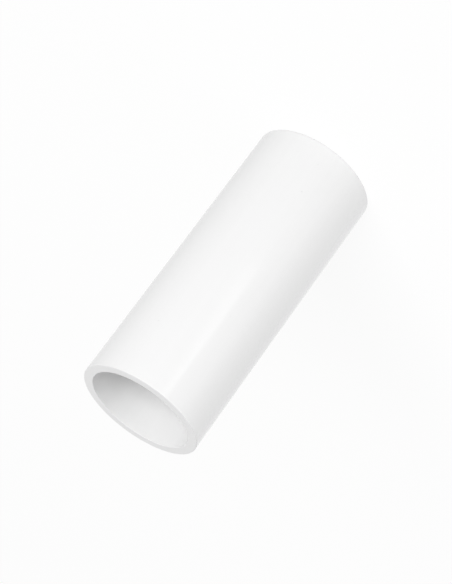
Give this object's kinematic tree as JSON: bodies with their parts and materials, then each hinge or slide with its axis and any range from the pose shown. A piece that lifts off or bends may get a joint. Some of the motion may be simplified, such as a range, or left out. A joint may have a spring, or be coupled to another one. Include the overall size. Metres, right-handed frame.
{
  "type": "valve connector",
  "caption": "Short straight tube of plain white rigid plastic, cut square at both ends with eased edges, that joins a valve's socket to a pipe or housing.",
  "frame": {"origin": "centre of the cut end that the tube stands on", "axes": "+Z along the tube's axis, up towards the other cut end; the tube is the same all round, so +X and +Y are any two directions across it"},
  "size_m": [0.0484, 0.0482, 0.119],
  "materials": {
    "white_pvc": "smooth extruded rigid PVC with a low gloss; the cut end faces are more matt"
  },
  "bodies": {
    "root": {"tube": "white_pvc"}
  },
  "joints": []
}
